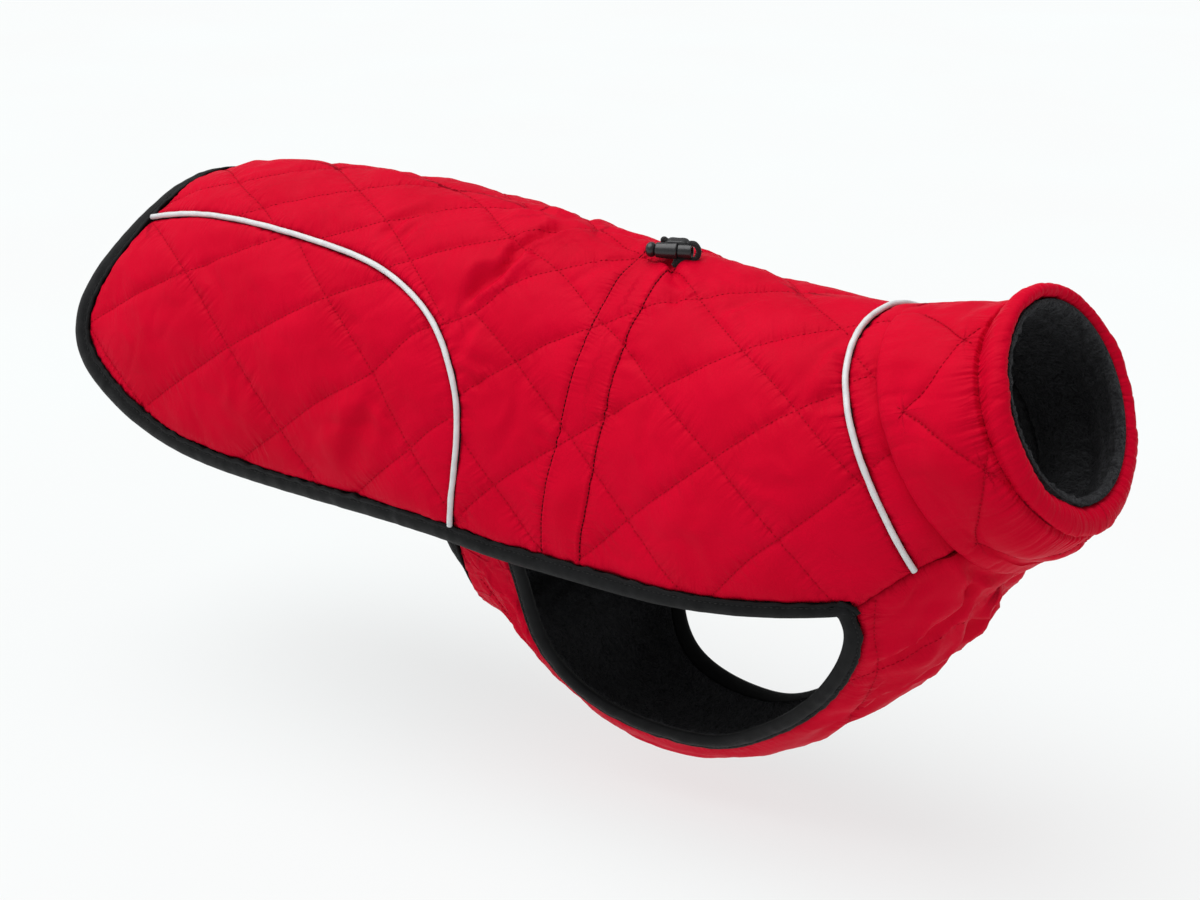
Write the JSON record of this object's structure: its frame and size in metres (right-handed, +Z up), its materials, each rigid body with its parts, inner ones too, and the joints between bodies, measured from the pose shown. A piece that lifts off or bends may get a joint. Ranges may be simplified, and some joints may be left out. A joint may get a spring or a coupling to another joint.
{
  "type": "dog winter coat",
  "caption": "Quilted dog winter coat filled out as worn, with padded collar, fleece lining, bound hem and leg openings, belly panel, grey piping and a cord toggle on the back.",
  "frame": {"origin": "inner face of the back lining on the spine, over the middle of the coat, where the wearer's back carries it", "axes": "+X forward to the collar, +Z up, +Y to the wearer's left; the coat is symmetric about the XZ plane apart from its toggle"},
  "size_m": [0.6242, 0.1904, 0.2876],
  "materials": {
    "quilted_polyester": "red satin polyester, diamond quilted over wadding",
    "fleece": "black curly fleece",
    "binding_tape": "black woven tape, slight sheen",
    "reflective_piping": "silver-grey reflective piping, satin",
    "toggle_plastic": "black moulded plastic, half gloss",
    "elastic_cord": "black braided elastic"
  },
  "bodies": {
    "root": {"back_centre_panel": "quilted_polyester", "rear_side_panel_left": "quilted_polyester", "rear_side_panel_right": "quilted_polyester", "neck_yoke": "quilted_polyester", "chest_belly_panel": "quilted_polyester", "collar": "quilted_polyester", "collar_rim": "quilted_polyester", "back_lining": "fleece", "chest_belly_lining": "fleece", "collar_lining": "fleece", "hem_binding": "binding_tape", "leg_binding_left": "binding_tape", "leg_binding_right": "binding_tape", "belly_band_binding": "binding_tape", "neck_piping": "reflective_piping", "tail_piping_left": "reflective_piping", "tail_piping_right": "reflective_piping", "cord_anchor": "elastic_cord", "cord_loop": "elastic_cord", "toggle_barrel": "toggle_plastic", "toggle_sleeve": "toggle_plastic", "toggle_button": "toggle_plastic", "toggle_plate": "toggle_plastic"}
  },
  "joints": []
}
